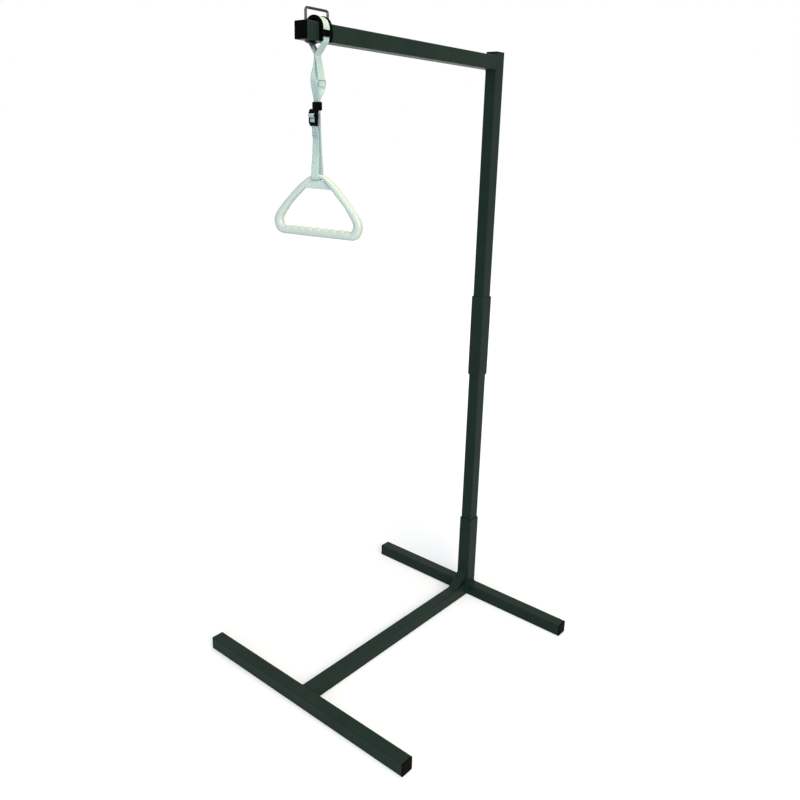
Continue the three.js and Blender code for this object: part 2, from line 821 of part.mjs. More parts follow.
function flatStations(points) {
  const stations = points.map((point) => ({
    at: new THREE.Vector3(0, point.x, point.y),
    across: alongX,
  }));
  stations[0].along = downward;
  stations[stations.length - 1].along = alongZ;
  return stations;
}

// The strap's two runs between the keeper's mouth and the upper bar: [share of the bar's depth,
// drop in layers]
const innerRunShares = [
  [0.206, 0.5],
  [0.36, 2.1],
  [0.66, 3.4],
];
const outerRunShares = [
  [0.46, 4.2],
  [0.2, 3.1],
  [0.03, 1.6],
];

// The strap's run through the keeper, round the upper bar and back up as the tail
function adjustingWebbing() {
  const wrap = upperBarRadius + webbingRise;
  const mouth = -keeperHeight;
  const along = ([reach, drop]) =>
    new THREE.Vector2(upperBar.x * reach, mouth - layerPitch * drop);
  const points = [
    new THREE.Vector2(-layerPitch, -strapGap),
    new THREE.Vector2(-layerPitch, mouth + strapGap),
    ...innerRunShares.map(along),
    ...roundBar(upperBar, wrap, upperWrapDegrees),
    ...outerRunShares.map(along),
    new THREE.Vector2(0, mouth + strapGap),
    new THREE.Vector2(0, -strapGap),
  ];
  place(adjuster, "adjusting_webbing", webbing(flatStations(points)), finish.webbing);
}

// Handle

const handleZ = -handleDrop;
const apexZ = handleZ + handleHeight - apexThickness / 2;

// The sewn strap from the keeper, down the back, under the handle's apex, up the front to the
// lower bar, and back down behind its own front run as the sewn lap
function handleWebbing() {
  const stations = [];
  const add = (back, z, yaw) => {
    const side = new THREE.Vector3(Math.cos(yaw), Math.sin(yaw), 0);
    const behind = new THREE.Vector3(-Math.sin(yaw), Math.cos(yaw), 0);
    stations.push({ at: behind.multiplyScalar(back).setZ(z), across: side });
  };
  const halfDepth = handleDepth / 2 + webbingRise;
  const halfHeight = apexThickness / 2 + webbingRise;
  const top = -keeperDrop - strapGap;
  const mouth = top - keeperHeight;
  const apexTop = apexZ + apexThickness / 2;
  const plateBottom = -keeperDrop + adjusterTop - adjusterHeight;
  const plateMiddle = plateBottom + footPlateHeight / 2;
  const yawAt = (t) => THREE.MathUtils.lerp(adjusterYaw, handleYaw, THREE.MathUtils.smoothstep(t, 0, 1));
  const run = (backFrom, backTo, from, to, downwards) => {
    for (let i = 0; i <= steps.run; i++) {
      const fall = i / steps.run;
      const t = downwards ? fall : 1 - fall;
      const ease = THREE.MathUtils.smoothstep(fall, 0, 1);
      add(backFrom + (backTo - backFrom) * ease, from + (to - from) * fall, yawAt(t));
    }
  };

  add(layerPitch, top, adjusterYaw);
  run(layerPitch, halfDepth, mouth, apexTop, true);
  const bow = (value) => Math.sign(value) * Math.abs(value) ** loopPower;
  for (let i = 1; i < steps.run; i++) {
    const angle = (Math.PI * i) / steps.run;
    add(halfDepth * bow(Math.cos(angle)), apexZ - halfHeight * bow(Math.sin(angle)), handleYaw);
  }
  const rear = lowerBar.x - strapThickness;
  run(-halfDepth, rear, apexTop, plateBottom, false);

  const wrap = lowerBarRadius + webbingRise;
  const bar = new THREE.Vector2(lowerBar.x, -keeperDrop + lowerBar.y);
  const lap = rear + strapThickness + strapGap;
  add(rear - strapThickness / 2, plateMiddle, adjusterYaw);
  for (const point of roundBar(bar, wrap, lowerWrapDegrees)) {
    add(point.x, point.y, adjusterYaw);
  }
  add(bar.x + wrap * lapTopShare, plateMiddle, adjusterYaw);
  add(bar.x + wrap * lapFootShare, plateBottom - strapThickness, adjusterYaw);
  for (const share of [sewnHalfShare, 1]) {
    const z = THREE.MathUtils.lerp(plateBottom, bar.y - sewnLap, share);
    add(lap, z, yawAt((plateBottom - z) / (plateBottom - apexTop)));
  }
  stations[0].along = downward;
  place(hanger, "handle_webbing", webbing(stations), finish.webbing);
}

// The handle's rim: [outer across, outer up, inner across, inner up] as shares of its width and
// height, from the apex down one side to the end of the grip
const rimShares = [
  [0, 1, 0, 0.9147],
  [0.045, 0.991, 0.034, 0.9147],
  [0.09, 0.962, 0.061, 0.9147],
  [0.149, 0.901, 0.11, 0.83],
  [0.215, 0.816, 0.176, 0.717],
  [0.281, 0.71, 0.238, 0.616],
  [0.347, 0.597, 0.299, 0.513],
  [0.409, 0.483, 0.349, 0.4],
  [0.463, 0.375, 0.385, 0.312],
  [0.495, 0.276, 0.403, 0.249],
  [0.4995, 0.187, 0.4, 0.196],
  [0.483, 0.099, 0.39, 0.163],
  [0.449, 0.032, 0.372, 0.142],
  [0.4, 0.002, 0.352, 0.1365],
];

function handleRim() {
  const spot = (across, up) => new THREE.Vector3(across * handleWidth, 0, up * handleHeight);
  const outerSide = new THREE.CatmullRomCurve3(rimShares.map(([x, z]) => spot(x, z)));
  const innerSide = new THREE.CatmullRomCurve3(rimShares.map((row) => spot(row[2], row[3])));
  const outer = [];
  const inner = [];
  for (let i = 0; i <= steps.limb; i++) {
    outer.push(outerSide.getPoint(i / steps.limb));
    inner.push(innerSide.getPoint(i / steps.limb));
  }

  // The grip bar, from its end to the middle, with a ridge between each two fingers
  const [outerShare, outerUp, innerShare] = rimShares[rimShares.length - 1];
  const outerHalf = outerShare * handleWidth;
  const innerHalf = innerShare * handleWidth;
  const ridgeEnd = (fingerCount * fingerPitch) / 2;
  const count = Math.round((innerHalf / fingerPitch) * steps.finger);
  for (let i = 1; i <= count; i++) {
    const share = 1 - i / count;
    const x = innerHalf * share;
    const fade = THREE.MathUtils.smoothstep(ridgeEnd - x, 0, fingerPitch * ridgeFadeShare);
    const ridge = Math.abs(Math.cos((Math.PI * x) / fingerPitch)) * fingerHeight * fade;
    outer.push(new THREE.Vector3(outerHalf * share, 0, outerUp * handleHeight * share));
    inner.push(new THREE.Vector3(x, 0, gripThickness + ridge));
  }
  const mirrored = (list) =>
    list.slice(1, -1).reverse().map((point) => new THREE.Vector3(-point.x, 0, point.z));
  const allOuter = [...outer, ...mirrored(outer)];
  const allInner = [...inner, ...mirrored(inner)];
  const swell = (value) => Math.sign(value) * Math.abs(value) ** rimPower;
  const rings = allOuter.map((out, i) => {
    const middle = out.clone().add(allInner[i]).multiplyScalar(0.5);
    const reach = out.clone().sub(middle);
    return Array.from({ length: steps.section }, (_, k) => {
      const angle = (2 * Math.PI * k) / steps.section;
      const point = middle.clone().addScaledVector(reach, swell(Math.cos(angle)));
      return point.setY((-handleDepth / 2) * swell(Math.sin(angle)));
    });
  });
  return skin(rings, true);
}

// The handle with the thin web under its apex and the strap's slot above the web
function handle() {
  const [bottom, top] = webHeightShares.map((share) => share * handleHeight);
  const [wide, narrow] = webWidthShares.map((share) => (share * handleWidth) / 2);
  const web = new THREE.Shape();
  web.moveTo(-wide, bottom);
  web.lineTo(wide, bottom);
  web.lineTo(narrow, top);
  web.lineTo(-narrow, top);
  web.closePath();
  const plate = extrudeAcross(web, webThickness);
  const slotRound = slotHeight * edgeRoundShare;
  const slot = extrudeAcross(roundedRectangle(slotWidth, 2 * slotHeight, slotRound), handleDepth);
  slot.translate(0, 0, handleHeight - apexThickness);
  const solid = join(handleRim(), cut(plate, slot));
  const group = addGroup(hanger, 0, 0, handleZ, handleYaw);
  place(group, "handle", solid, finish.ivory);
}

floorBase();
socketAndBrace();
mastAndSleeve();
armTube();
keeperRod();
strapSaddle();
saddleWebbing();
strands();
keeperLoop();
adjusterFrame();
adjustingWebbing();
handleWebbing();
handle();

export default trapeze;
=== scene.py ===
# %% [markdown]
# # Dressing a bed trapeze
# The stand, the mast and the small plastic parts come in as a fixed frame of CAD solids. This lesson
# gives them their finishes, moulds softer versions of the plastic parts, and lays the white webbing
# that carries the handle. Everything is in metres: +Z is up, and the arm points along -Y.

import json
import math

import bmesh
import bpy
from mathutils import Matrix, Vector


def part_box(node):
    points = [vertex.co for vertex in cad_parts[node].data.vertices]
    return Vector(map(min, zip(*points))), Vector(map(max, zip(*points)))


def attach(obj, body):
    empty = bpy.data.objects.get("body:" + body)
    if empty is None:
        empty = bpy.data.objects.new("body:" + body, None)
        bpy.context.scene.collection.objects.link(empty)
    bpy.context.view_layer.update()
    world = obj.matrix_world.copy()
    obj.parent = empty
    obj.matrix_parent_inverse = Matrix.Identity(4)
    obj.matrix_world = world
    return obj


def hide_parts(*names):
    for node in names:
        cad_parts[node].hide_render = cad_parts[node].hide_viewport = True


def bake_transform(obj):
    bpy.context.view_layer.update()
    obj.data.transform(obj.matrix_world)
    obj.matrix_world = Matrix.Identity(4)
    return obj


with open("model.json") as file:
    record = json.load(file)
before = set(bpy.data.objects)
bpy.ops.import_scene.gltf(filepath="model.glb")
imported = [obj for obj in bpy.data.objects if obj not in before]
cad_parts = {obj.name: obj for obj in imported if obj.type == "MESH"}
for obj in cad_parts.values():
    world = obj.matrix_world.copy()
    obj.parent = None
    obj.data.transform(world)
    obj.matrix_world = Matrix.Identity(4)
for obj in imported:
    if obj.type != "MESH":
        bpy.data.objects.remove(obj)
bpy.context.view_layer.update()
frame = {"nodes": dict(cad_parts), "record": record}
NODES = frame["nodes"]
MM = 0.001
PHOTO_SIZE = 800

# %% [markdown]
# ## Shader maths
# A finish is a small web of nodes. Writing it as sums is easier to read than wiring each node by
# hand, so one class wraps a socket: arithmetic on it adds Math nodes, and one method adds any other
# node with its settings and its sockets.

# %% A socket that takes part in sums
class Shade:
    def __init__(self, tree, socket=None):
        self.tree = tree
        self.socket = socket

    def node(self, kind, settings=None, sockets=None, out=0):
        made = self.tree.nodes.new(kind)
        for name, value in (settings or {}).items():
            setattr(made, name, value)
        for name, value in (sockets or {}).items():
            if isinstance(value, Shade):
                self.tree.links.new(value.socket, made.inputs[name])
            else:
                made.inputs[name].default_value = value
        return Shade(self.tree, made.outputs[out])

    def math(self, operation, first, second=0.0):
        return self.node("ShaderNodeMath", {"operation": operation}, {0: first, 1: second})

    def __add__(self, other):
        return self.math("ADD", self, other)

    __radd__ = __add__

    def __sub__(self, other):
        return self.math("SUBTRACT", self, other)

    def __rsub__(self, other):
        return self.math("SUBTRACT", other, self)

    def __mul__(self, other):
        return self.math("MULTIPLY", self, other)

    __rmul__ = __mul__

    def __truediv__(self, other):
        return self.math("DIVIDE", self, other)

    def __rtruediv__(self, other):
        return self.math("DIVIDE", other, self)

    def __gt__(self, other):
        return self.math("GREATER_THAN", self, other)


print("sums of sockets are ready")

# %% [markdown]
# Colours are written as a screen shows them, from 0 to 255, and turned into the linear numbers that
# a shader needs. A finish is a new material whose own surface node is fed with sockets or plain
# numbers. Noise in the object's own place, a mix of two colours and a bump are used by all of them.

# %% Colours, noise and bump
def srgb(red, green, blue):
    def linear(value):
        share = value / 255
        return share / 12.92 if share <= 0.04045 else ((share + 0.055) / 1.055) ** 2.4

    return (linear(red), linear(green), linear(blue), 1.0)


def finish(name, build):
    made = bpy.data.materials.new(name)
    made.use_nodes = True
    tree = made.node_tree
    surface = tree.nodes["Principled BSDF"]
    build(Shade(tree), surface)
    return made


def feed(surface, sockets):
    for name, value in sockets.items():
        socket = surface.inputs[name]
        if isinstance(value, Shade):
            value.tree.links.new(value.socket, socket)
        else:
            socket.default_value = value


def place(shade):
    return shade.node("ShaderNodeTexCoord", out="Object")


def noise(shade, scale, detail=2.0, roughness=0.5):
    sockets = {"Vector": place(shade), "Scale": scale, "Detail": detail, "Roughness": roughness}
    return shade.node("ShaderNodeTexNoise", None, sockets, out="Fac")


def mixed(shade, share, first, second):
    return shade.node("ShaderNodeMix", {"data_type": "RGBA"}, {0: share, 6: first, 7: second}, out=2)


def bumped(shade, height, distance):
    return shade.node("ShaderNodeBump", None, {"Height": height, "Distance": distance})


print("shader helpers ready")

# %% [markdown]
# ## The powder coat
# The tubes are sprayed with a dark bronze-olive powder and baked. The film flows into a faint
# orange-peel surface with a satin gloss. It could be one flat colour, but a real coat is never even:
# noise at two sizes gives the peel, a larger one makes the gloss uneven, and a speckle lifts single
# grains of the powder. A scale is roughly the number of patches in a metre. The beads of weld get
# the same coat with a deeper peel.

# %% Powder coat
COAT_DARK = srgb(19, 32, 32)
COAT_LIGHT = srgb(32, 46, 41)
COAT_GRAIN = srgb(62, 76, 60)
CLOUD_SCALE = 9.0
GLOSS_SCALE = 26.0
PEEL_SCALE = 520.0
FINE_PEEL_SCALE = 1500.0
FINE_PEEL_SHARE = 0.35
GRAIN_SCALE = 1400.0
GRAIN_LIMIT = 0.66
GRAIN_SHARE = 0.35
TUBE_PEEL = 0.12 * MM
WELD_PEEL = 0.3 * MM


def powder(peel_depth):
    def build(shade, surface):
        cloud = noise(shade, CLOUD_SCALE, 3.0, 0.6)
        grain = noise(shade, GRAIN_SCALE, 1.0)
        base = mixed(shade, cloud, COAT_DARK, COAT_LIGHT)
        gloss = noise(shade, GLOSS_SCALE, 4.0, 0.65)
        fine_peel = FINE_PEEL_SHARE * noise(shade, FINE_PEEL_SCALE, 1.0)
        peel = noise(shade, PEEL_SCALE, 2.0, 0.5) + fine_peel
        feed(surface, {
            "Base Color": mixed(shade, (grain > GRAIN_LIMIT) * GRAIN_SHARE, base, COAT_GRAIN),
            "Roughness": 0.27 + 0.16 * gloss + 0.06 * grain,
            "Normal": bumped(shade, peel, peel_depth),
            "Specular IOR Level": 0.06,
        })
    return build


coat = finish("powder_coat", powder(TUBE_PEEL))
coated_weld = finish("powder_coat_on_weld", powder(WELD_PEEL))
print("finishes:", coat.name, coated_weld.name)

# %% [markdown]
# ## Plastics and the rod
# The caps, the saddle, the keeper and the adjuster are moulded in black plastic with a fine spark
# texture, the grain that spark erosion leaves in a steel mould. The handle is an ivory plastic,
# smooth and a little waxy, with soft flow marks. The rod is dark plated steel with fine scratches.
# The marks are far too small to model, so they are a bump, three hundredths of a millimetre deep at
# most.

# %% Moulded plastics and steel
SPARK_DEPTH = 0.015 * MM
FLOW_DEPTH = 0.006 * MM
SCRATCH_DEPTH = 0.03 * MM


def black_plastic(shade, surface):
    cloud = noise(shade, 60.0, 3.0)
    spark = noise(shade, 2600.0, 2.0, 0.6)
    feed(surface, {
        "Base Color": mixed(shade, cloud, srgb(2, 3, 3), srgb(7, 8, 8)),
        "Roughness": 0.34 + 0.2 * cloud,
        "Normal": bumped(shade, spark, SPARK_DEPTH),
        "Specular IOR Level": 0.01,
    })


def ivory_plastic(shade, surface):
    cloud = noise(shade, 22.0, 4.0, 0.6)
    flow = noise(shade, 140.0, 2.0)
    spark = noise(shade, 1800.0, 2.0, 0.6)
    feed(surface, {
        "Base Color": mixed(shade, cloud, srgb(188, 195, 194), srgb(203, 207, 204)),
        "Roughness": 0.3 + 0.12 * flow,
        "Normal": bumped(shade, 0.2 * spark + flow, FLOW_DEPTH),
    })


def plated_steel(shade, surface):
    cloud = noise(shade, 120.0, 3.0)
    scratch = noise(shade, 1500.0, 3.0)
    feed(surface, {
        "Base Color": mixed(shade, cloud, srgb(46, 52, 52), srgb(70, 76, 74)),
        "Roughness": 0.24 + 0.18 * scratch,
        "Normal": bumped(shade, scratch, SCRATCH_DEPTH),
        "Metallic": 1.0,
    })


black = finish("black_plastic", black_plastic)
ivory = finish("ivory_plastic", ivory_plastic)
steel = finish("plated_steel", plated_steel)
print("finishes:", black.name, ivory.name, steel.name)

# %% [markdown]
# ## The weave
# Polyester webbing is woven with thick warp yarns along the strap and thin weft across it. Each
# strap mesh below carries a map of its own width and length in metres, so the yarns follow every
# bend. Two sine waves, shifted by half a yarn from row to row, give the herringbone of small
# knuckles. Noise adds fuzz and a little soil. The yarns darken along the two edges: partly a tighter
# selvedge, and partly painted shade for the dark shaded outline along the strap's edges. The seams
# are sewn with a dark twisted thread.

# %% Woven webbing
STRAP_WIDTH = 20 * MM
WARP_PITCH = 1.15 * MM
WEFT_PITCH = 1.05 * MM
YARN_DEPTH = 0.22 * MM
TWIST_DEPTH = 0.1 * MM
SELVEDGE_AND_SHADE_WIDTH = 0.9 * MM
YARN_DARK = srgb(150, 171, 173)
YARN_LIGHT = srgb(234, 245, 247)
SOIL = srgb(204, 210, 206)
SOIL_SHARE = 0.25


def wave(shade, value, pitch):
    turns = value * (2 * math.pi / pitch)
    return shade.math("SINE", turns) * 0.5 + 0.5


def webbing_weave(shade, surface):
    strap_map = shade.node("ShaderNodeUVMap", {"uv_map": "strap"})
    across = shade.node("ShaderNodeSeparateXYZ", None, {0: strap_map})
    along = Shade(shade.tree, across.socket.node.outputs[1])
    warp = wave(shade, across, WARP_PITCH)
    row = shade.math("FLOOR", across / WARP_PITCH) * (WEFT_PITCH / 2)
    weft = wave(shade, along + row, WEFT_PITCH)
    knuckle = warp * (0.45 + 0.55 * weft)
    fuzz = noise(shade, 3800.0, 3.0, 0.7)
    soil = noise(shade, 45.0, 4.0, 0.6)
    # The darker band along both edges is partly a tighter selvedge and partly painted shade for the
    # strap's dark outline.
    edge = shade.math("ABSOLUTE", across - STRAP_WIDTH) > STRAP_WIDTH / 2 - SELVEDGE_AND_SHADE_WIDTH
    yarn = mixed(shade, knuckle * (1 - 0.5 * edge), YARN_DARK, YARN_LIGHT)
    feed(surface, {
        "Base Color": mixed(shade, soil * SOIL_SHARE, yarn, SOIL),
        "Roughness": 0.72 + 0.2 * fuzz,
        "Normal": bumped(shade, knuckle + 0.25 * fuzz, YARN_DEPTH),
        "Sheen Weight": 0.15,
        "Specular IOR Level": 0.3,
    })


def thread_twist(shade, surface):
    twist = noise(shade, 2400.0, 2.0)
    feed(surface, {
        "Base Color": mixed(shade, twist, srgb(34, 48, 54), srgb(70, 84, 88)),
        "Roughness": 0.6 + 0.2 * twist,
        "Normal": bumped(shade, twist, TWIST_DEPTH),
    })


weave = finish("woven_webbing", webbing_weave)
thread = finish("sewing_thread", thread_twist)
print("finishes:", weave.name, thread.name)

# %% [markdown]
# ## Painting the CAD solids
# A node whose shape is right keeps its solid and only gets a finish. Flat shading would show the
# facets of the tube corners, so edges are smoothed up to a limit angle, and a weighted-normal
# modifier keeps the wide faces flat.

# %% Finish for each node that stays
SOFT_ANGLE = math.radians(32)
FINISH_OF_SLOT = {
    "coated_steel": coat,
    "coated_weld": coated_weld,
    "rod_steel": steel,
    "black_plastic": black,
    "white_webbing": weave,
    "ivory_plastic": ivory,
}
slot_of_node = {part["node"]: part["material_slot"] for part in frame["record"]["subparts"]}


def soften(piece):
    for face in piece.data.polygons:
        face.use_smooth = True
    mesh = bmesh.new()
    mesh.from_mesh(piece.data)
    for edge in mesh.edges:
        edge.smooth = len(edge.link_faces) == 2 and edge.calc_face_angle(0.0) < SOFT_ANGLE
    mesh.to_mesh(piece.data)
    mesh.free()
    weighted = piece.modifiers.new("weighted_normals", "WEIGHTED_NORMAL")
    weighted.keep_sharp = True


for node_name, node in NODES.items():
    node.data.materials.clear()
    node.data.materials.append(FINISH_OF_SLOT[slot_of_node[node_name]])
print("painted", len(NODES), "nodes")

# %% [markdown]
# ## Moulded parts
# A mould has no sharp corners. The plastic parts and the handle start from a copy of their CAD
# solid, which a voxel remesh turns into an even skin. Smoothing that skin rounds every edge and runs
# the joins of ribs, bars and bridges together in small fillets, as they leave the mould. A bevel
# would need clean edges to follow, which a solid made of several joined forms doesn't have.

# %% Mould a copy of a CAD solid
def apply_modifiers(piece):
    graph = bpy.context.evaluated_depsgraph_get()
    piece.data = bpy.data.meshes.new_from_object(piece.evaluated_get(graph))
    piece.modifiers.clear()


def linked(name, data):
    made = bpy.data.objects.new(name, data)
    bpy.context.scene.collection.objects.link(made)
    return made


def moulded(node, data, voxel, rounds, body, look):
    piece = linked(node + "_moulded", data)
    remesh = piece.modifiers.new("skin", "REMESH")
    remesh.mode = "VOXEL"
    remesh.voxel_size = voxel
    smooth = piece.modifiers.new("edges", "SMOOTH")
    smooth.factor = 0.5
    smooth.iterations = rounds
    bpy.context.view_layer.update()
    apply_modifiers(piece)
    for face in piece.data.polygons:
        face.use_smooth = True
    piece.data.materials.clear()
    piece.data.materials.append(look)
    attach(piece, body)
    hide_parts(node)
    print(piece.name, "has", len(piece.data.polygons), "faces")


def cad_copy(node, move=None, add=None):
    data = NODES[node].data.copy()
    mesh = bmesh.new()
    mesh.from_mesh(data)
    if add:
        add(mesh)
    if move:
        for corner in mesh.verts:
            corner.co = move(corner.co)
    mesh.to_mesh(data)
    mesh.free()
    return data


print("ready to mould copies of the solids")

# %% [markdown]
# The handle hangs with its right end a little low, because the loop has slid sideways in its slot.
# No light shows through that slot in the photograph, so a block raises its floor until the webbing
# fills it. Both are done to the copy before it is moulded, and the block melts into the skin. The
# saddle needs no change before its mould.

# %% Handle and saddle
HANDLE_LEAN = math.radians(1.5)
HANDLE_SAG = 2.8 * MM
HANDLE_TURN = 17
APEX_THICK = 12.5 * MM
SLOT_HEIGHT = 5 * MM
SLOT_WIDTH = 29 * MM
SLOT_RAISED = 2.6 * MM
WEB_DEPTH = 7 * MM
SLOT_DROP = 6 * MM
handle_low, handle_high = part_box("handle")
handle_middle = (handle_low + handle_high) / 2
slot_spot = Vector((handle_middle.x, handle_middle.y, handle_high.z - SLOT_DROP))
handle_turn = Matrix.Rotation(math.radians(HANDLE_TURN), 4, "Z")
handle_normal = handle_turn @ Vector((0, 1, 0))
tip = Matrix.Rotation(HANDLE_LEAN, 4, handle_normal)


def tipped(at):
    return slot_spot + tip @ (at - slot_spot) - Vector((0, 0, HANDLE_SAG))


def slot_floor(mesh):
    bottom = handle_high.z - APEX_THICK - SLOT_HEIGHT
    high = 2 * SLOT_RAISED
    size = Matrix.Diagonal((SLOT_WIDTH + 2 * MM, WEB_DEPTH, high, 1))
    spot = Matrix.Translation((handle_middle.x, handle_middle.y, bottom))
    bmesh.ops.create_cube(mesh, size=1, matrix=spot @ handle_turn @ size)


moulded(
    "handle",
    cad_copy("handle", tipped, slot_floor),
    voxel=0.8 * MM,
    rounds=14,
    body="handle",
    look=ivory,
)
moulded(
    "strap_saddle",
    cad_copy("strap_saddle"),
    voxel=0.6 * MM,
    rounds=4,
    body="saddle",
    look=black,
)

# %% [markdown]
# ## The strap's road
# The webbing is one long strap. Sewn round the adjuster's lower bar, it runs down to the handle,
# through its slot, up behind the adjuster and through the keeper, twists up to the crossing, over the
# saddle and down again, then through the keeper, round the upper bar and back up as the free tail.
# The stations below began as those of the CAD solids and were then brought closer to the photograph.
# They are measured from the saddle's middle, so that the strap stays with the frame.

# %% Places taken from the frame
STRAP_THICK = 1.6 * MM
STRAP_GAP = 0.3 * MM
STRAP_RISE = STRAP_THICK / 2 + STRAP_GAP


def middle(low, high):
    return (low + high) / 2


saddle_low, saddle_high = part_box("strap_saddle")
arm_low, arm_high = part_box("arm_tube")
keeper_low, keeper_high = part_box("strap_keeper")
HANG = Vector((0, middle(saddle_low.y, saddle_high.y), middle(arm_low.z, arm_high.z)))
KEEPER_TOP = keeper_high.z
KEEPER_MOUTH = keeper_low.z
print("the strap hangs at", tuple(round(value, 4) for value in HANG))

# %% [markdown]
# A strap never hangs quite true. In the photograph the crossing, the keeper and the adjuster sit two
# to four millimetres to the left of a plumb line, and the loop has slid to the left end of the
# handle's slot. Each row of the table is a drop below the arm's middle, and how far the strap has
# wandered there, sideways and back, all in millimetres.

# %% The strap's lean
LEANS = (
    (0, 0, 0),
    (20.5, 0, 0),
    (46.8, -1.5, -1.6),
    (100, -2.0, -2.1),
    (150, -2.3, -2.4),
    (182, -1.9, -1.9),
    (240, -2.4, -1.8),
    (300, -3.6, -1.1),
    (999, -3.6, -1.1),
)


def hung(at):
    drop = (HANG.z - at.z) / MM
    if drop <= 0:
        return Vector(at)
    i = next(k for k, row in enumerate(LEANS) if row[0] >= drop)
    above, below = LEANS[i - 1], LEANS[i]
    share = (drop - above[0]) / (below[0] - above[0])
    side, back = (above[k] + (below[k] - above[k]) * share for k in (1, 2))
    return Vector(at) + Vector((side * MM, back * MM, 0))


keeper_spot = Vector((HANG.x, HANG.y, KEEPER_TOP))
print("the keeper wanders", round((hung(keeper_spot) - keeper_spot).length / MM, 1), "mm")

# %% [markdown]
# A strap needs two things at each station: where its middle is, and which way its width points. The
# stations are few and listed one by one, and a smooth curve through them gives as many as the mesh
# needs. Other helpers find the station at a height, or cut a line of stations between two heights.

# %% Stations
class Station:
    def __init__(self, at, across):
        self.at = Vector(at)
        self.across = Vector(across).normalized()


def turned(degrees):
    angle = math.radians(degrees)
    return Vector((math.cos(angle), math.sin(angle), 0))


def between(a, b, c, d, share):
    bend = 2 * a - 5 * b + 4 * c - d + share * (3 * (b - c) + d - a)
    return b + 0.5 * share * (c - a + share * bend)


def smoothed(stations, step):
    fine = []
    last = len(stations) - 1
    for i in range(last):
        a, b, c, d = (stations[min(max(k, 0), last)] for k in (i - 1, i, i + 1, i + 2))
        count = max(1, math.ceil((c.at - b.at).length / step))
        for k in range(count):
            share = k / count
            at = between(a.at, b.at, c.at, d.at, share)
            fine.append(Station(at, b.across.lerp(c.across, share)))
    fine.append(stations[last])
    return fine


def at_height(stations, height):
    for above, below in zip(stations, stations[1:]):
        if above.at.z >= height >= below.at.z:
            share = (above.at.z - height) / max(above.at.z - below.at.z, 1e-9)
            return Station(above.at.lerp(below.at, share), above.across.lerp(below.across, share))
    return stations[0] if height > stations[0].at.z else stations[-1]


def cut_between(stations, top, bottom):
    inside = [station for station in stations if bottom + 1e-5 < station.at.z < top - 1e-5]
    return [at_height(stations, top)] + inside + [at_height(stations, bottom)]


def front_of(station):
    return Vector((station.across.y, -station.across.x, 0))


STRAP_STEP = 0.8 * MM
TAIL_STEP = 1.5 * MM
LOCK_STEP = 0.6 * MM
print("the strap is drawn in steps of", STRAP_STEP / MM, "mm")

# %% [markdown]
# A ribbon is a flat tube: the outline of the webbing, with its two rounded edges, is repeated at
# each station and joined up. A curve object with a bevel could do this too, but it turns its section
# by itself, and here each twist has to be the one in the photograph. The map called strap holds the
# place across and along the webbing in metres, for the weave.

# %% Ribbons
EDGE_STEPS = 4
FACE_STEPS = 10


def strap_outline():
    edge = STRAP_THICK / 2
    flat = STRAP_WIDTH / 2 - edge
    points = []
    for side in (1, -1):
        for k in range(EDGE_STEPS + 1):
            angle = side * (k / EDGE_STEPS - 0.5) * math.pi
            points.append((side * flat + edge * math.cos(angle) * side, edge * math.sin(angle)))
        for k in range(1, FACE_STEPS):
            points.append((side * flat * (1 - 2 * k / FACE_STEPS), side * edge))
    return points


def ribbon(name, stations):
    outline = strap_outline()
    mesh = bmesh.new()
    rings = []
    lengths = [0.0]
    for i, station in enumerate(stations):
        middle_line = hung(station.at)
        before = hung(stations[max(i - 1, 0)].at)
        after = hung(stations[min(i + 1, len(stations) - 1)].at)
        along = (after - before).normalized()
        across = (station.across - along * station.across.dot(along)).normalized()
        face_up = along.cross(across)
        rings.append([mesh.verts.new(middle_line + across * x + face_up * y) for x, y in outline])
        if i:
            lengths.append(lengths[-1] + (station.at - stations[i - 1].at).length)
    strap_map = mesh.loops.layers.uv.new("strap")
    size = len(outline)
    for i in range(len(rings) - 1):
        ring = rings[i]
        next_ring = rings[i + 1]
        for k in range(size):
            beside = (k + 1) % size
            face = mesh.faces.new((ring[k], ring[beside], next_ring[beside], next_ring[k]))
            corners = ((k, i), (beside, i), (beside, i + 1), (k, i + 1))
            for loop, (place_across, place_along) in zip(face.loops, corners):
                loop[strap_map].uv = (outline[place_across][0] + STRAP_WIDTH, lengths[place_along])
    ends = [mesh.faces.new(list(reversed(rings[0]))), mesh.faces.new(rings[-1])]
    for face in mesh.faces:
        face.smooth = face not in ends
    bmesh.ops.recalc_face_normals(mesh, faces=mesh.faces)
    data = bpy.data.meshes.new(name)
    mesh.to_mesh(data)
    mesh.free()
    data.materials.append(weave)
    print(name, "is", round(lengths[-1] * 1000), "mm long")
    return linked(name, data)


print("a section of the webbing has", len(strap_outline()), "corners")

# %% [markdown]
# A seam is a row of lockstitches in dark thread. On the real strap the thread lies in short raised
# lengths and dives through the webbing between them, so each stitch here is a small stretched drop,
# half sunk in. A bump could draw them too, but real drops keep their outline at the strap's edge. A
# row can run across the strap or along it.

# %% Seams
STITCH_PITCH = 2.6 * MM
STITCH_LENGTH = 2.2 * MM
THREAD_HIGH = 0.3 * MM
SEAM_INSET = 1.5 * MM


def stitch(station, side, along):
    front = front_of(station)
    spot = hung(station.at) + station.across * side + front * (STRAP_THICK / 2)
    return spot, along, front


def row_across(stations, height):
    station = min(stations, key=lambda spot: abs(spot.at.z - height))
    count = int((STRAP_WIDTH - 2 * SEAM_INSET) / STITCH_PITCH) + 1
    sides = [(k - (count - 1) / 2) * STITCH_PITCH for k in range(count)]
    return [stitch(station, side, station.across) for side in sides]


def row_along(stations, side, top, bottom):
    stitches = []
    height = top
    while height > bottom:
        stitches.append(stitch(at_height(stations, height), side, Vector((0, 0, 1))))
        height -= STITCH_PITCH
    return stitches


